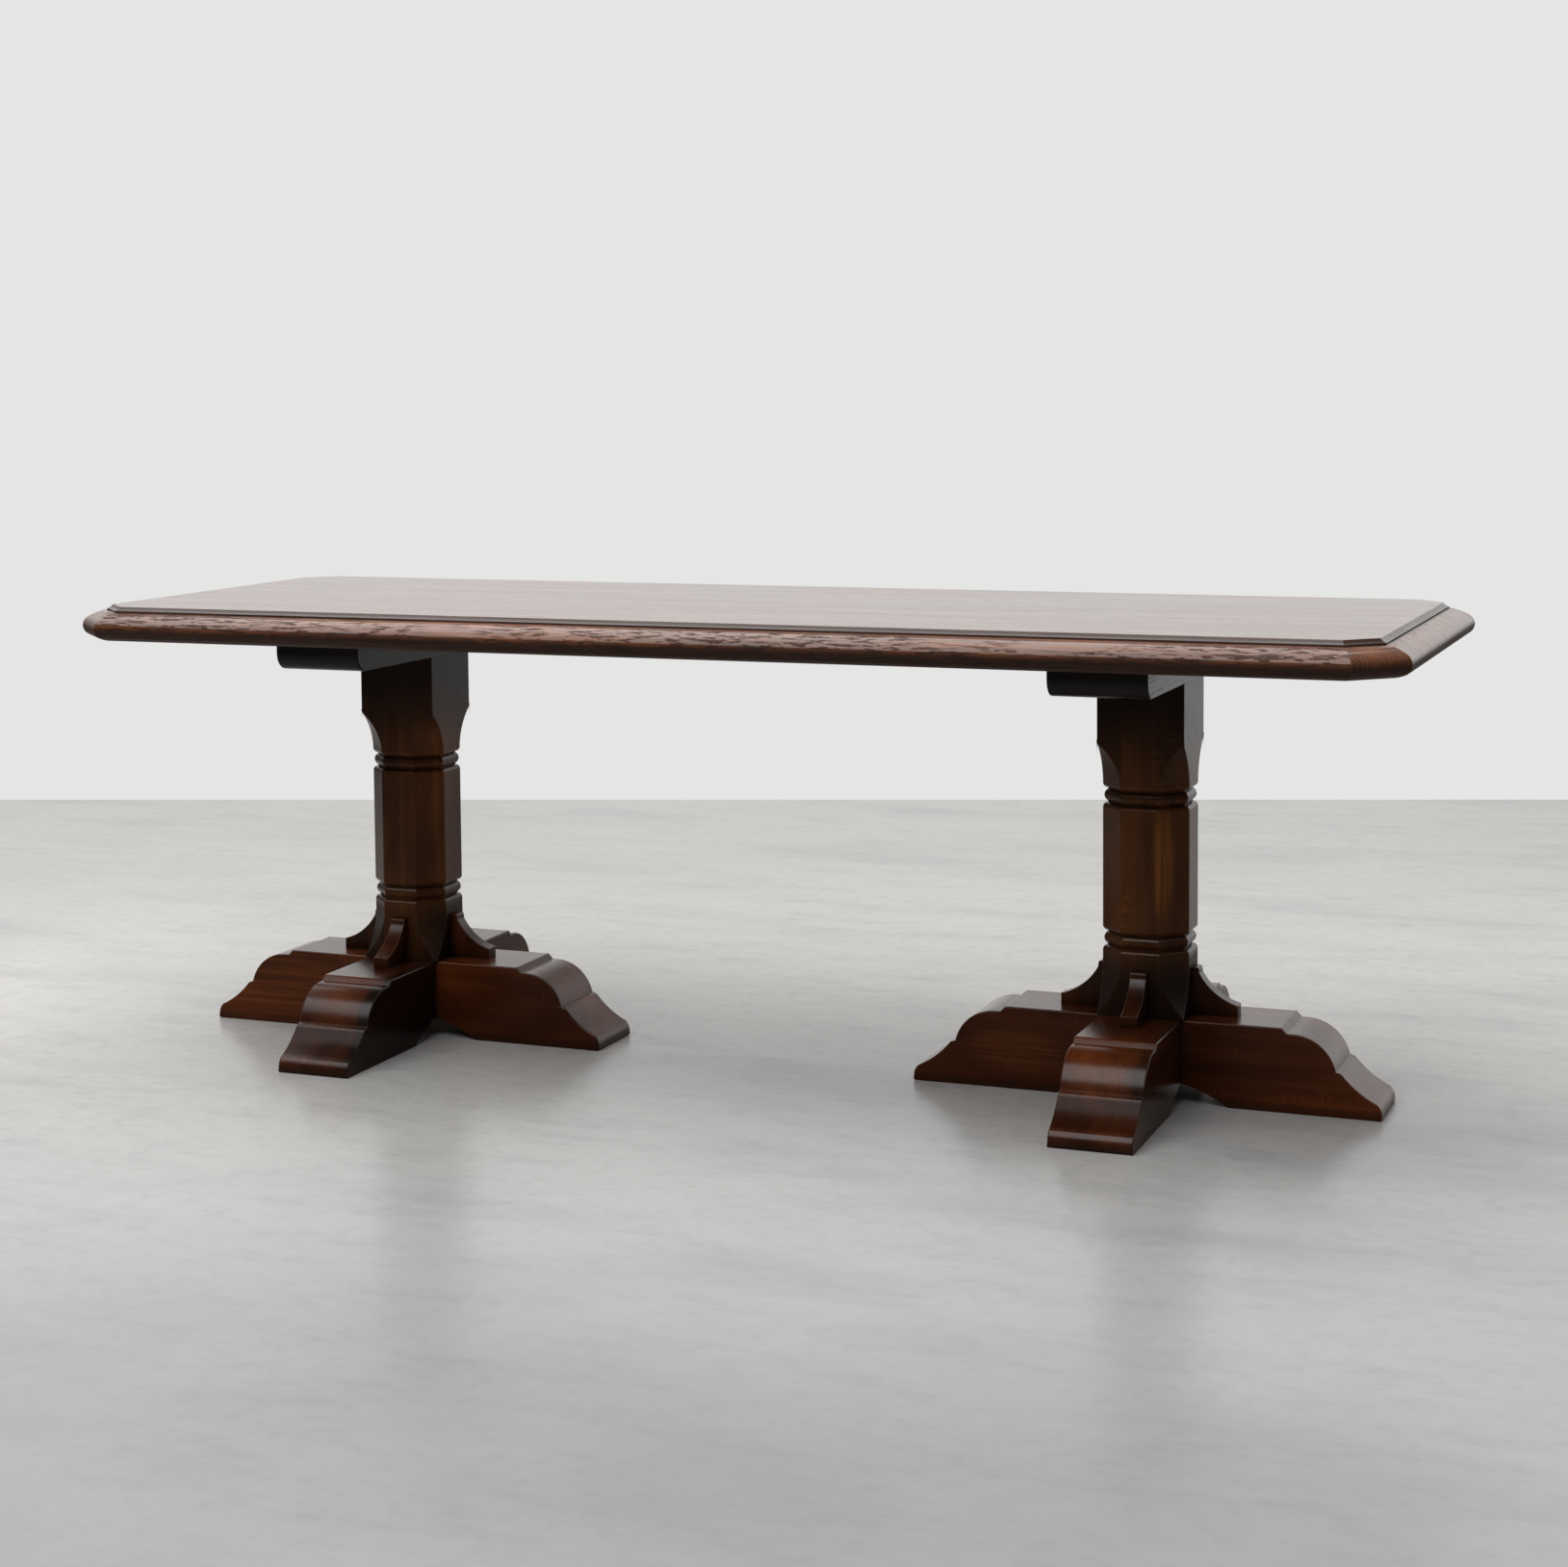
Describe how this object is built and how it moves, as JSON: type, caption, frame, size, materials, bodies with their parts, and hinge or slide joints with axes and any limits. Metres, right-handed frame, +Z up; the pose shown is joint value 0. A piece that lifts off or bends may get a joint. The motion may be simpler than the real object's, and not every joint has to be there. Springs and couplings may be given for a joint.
{
  "type": "double pedestal dining table",
  "caption": "Long oak dining table: a moulded top with clipped corners on stop-chamfered, beaded octagonal posts, each on cross-lapped moulded feet with nailed coved brackets.",
  "frame": {"origin": "on the floor, at the middle of the table, midway between the pedestals", "axes": "+X along the top to the right, +Y to the back, +Z up"},
  "size_m": [2.18, 0.8, 0.75],
  "materials": {
    "oak_top": "brushed dark-stained oak under satin lacquer",
    "oak_tongue": "bare sawn oak, glued in",
    "oak_base": "red-brown to black stained oak under glossy lacquer, worn on its edges",
    "steel": "plain steel, darkened"
  },
  "bodies": {
    "root": {"top_board_1": "oak_top", "top_board_2": "oak_top", "top_board_3": "oak_top", "top_board_4": "oak_top", "top_board_5": "oak_top", "top_board_6": "oak_top", "top_tongue_1": "oak_tongue", "top_tongue_2": "oak_tongue", "top_tongue_3": "oak_tongue", "top_tongue_4": "oak_tongue", "top_tongue_5": "oak_tongue", "bearer_left": "oak_base", "bearer_right": "oak_base", "post_left": "oak_base", "post_right": "oak_base", "long_sleeper_left": "oak_base", "long_sleeper_right": "oak_base", "cross_sleeper_left": "oak_base", "cross_sleeper_right": "oak_base", "bracket_left_inner": "oak_base", "bracket_left_back": "oak_base", "bracket_left_outer": "oak_base", "bracket_left_front": "oak_base", "bracket_right_inner": "oak_base", "bracket_right_back": "oak_base", "bracket_right_outer": "oak_base", "bracket_right_front": "oak_base", "bracket_nails": "steel", "bearer_screws": "steel"}
  },
  "joints": []
}
